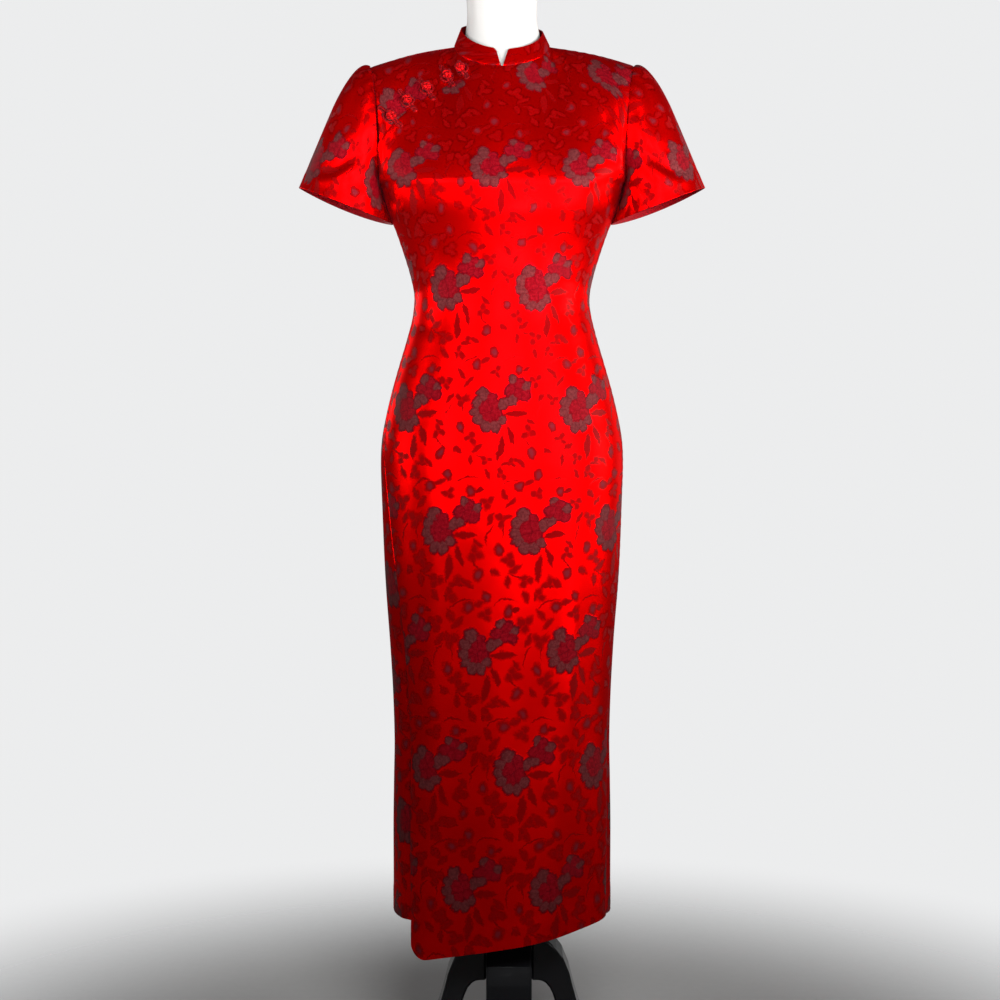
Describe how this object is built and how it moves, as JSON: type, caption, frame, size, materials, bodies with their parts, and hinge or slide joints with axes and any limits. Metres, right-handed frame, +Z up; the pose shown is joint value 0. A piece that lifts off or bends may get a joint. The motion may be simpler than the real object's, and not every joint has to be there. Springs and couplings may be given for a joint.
{
  "type": "cheongsam dress on a dress form",
  "caption": "Long short-sleeved satin cheongsam with a stand collar, a side opening with knot buttons and side slits, on a limbless dress form with a four-legged base.",
  "frame": {"origin": "on the floor under the middle of the dress", "axes": "+Z up, -Y is the front of the dress, +X is the wearer's left"},
  "size_m": [0.586, 0.4542, 1.6555],
  "materials": {
    "red_brocade": "glossy red satin with woven flowers",
    "red_satin_cord": "glossy red satin cord",
    "form_shell": "smooth off-white plastic",
    "steel_pole": "brushed",
    "base_plastic": "glossy black"
  },
  "bodies": {
    "root": {"back_panel": "red_brocade", "collar": "red_brocade", "form_torso": "form_shell", "front_panel": "red_brocade", "hub": "base_plastic", "knot_1": "red_satin_cord", "knot_2": "red_satin_cord", "knot_3": "red_satin_cord", "knot_4": "red_satin_cord", "knot_5": "red_satin_cord", "leg_back": "base_plastic", "leg_front": "base_plastic", "leg_left": "base_plastic", "leg_right": "base_plastic", "loop_1": "red_satin_cord", "loop_2": "red_satin_cord", "loop_3": "red_satin_cord", "loop_4": "red_satin_cord", "loop_5": "red_satin_cord", "neck_cap": "form_shell", "pole": "steel_pole", "pole_socket": "base_plastic", "shoulder_piece": "red_brocade", "sleeve_left": "red_brocade", "sleeve_right": "red_brocade", "tab_lower_1": "red_satin_cord", "tab_lower_2": "red_satin_cord", "tab_lower_3": "red_satin_cord", "tab_lower_4": "red_satin_cord", "tab_lower_5": "red_satin_cord", "tab_upper_1": "red_satin_cord", "tab_upper_2": "red_satin_cord", "tab_upper_3": "red_satin_cord", "tab_upper_4": "red_satin_cord", "tab_upper_5": "red_satin_cord"}
  },
  "joints": []
}
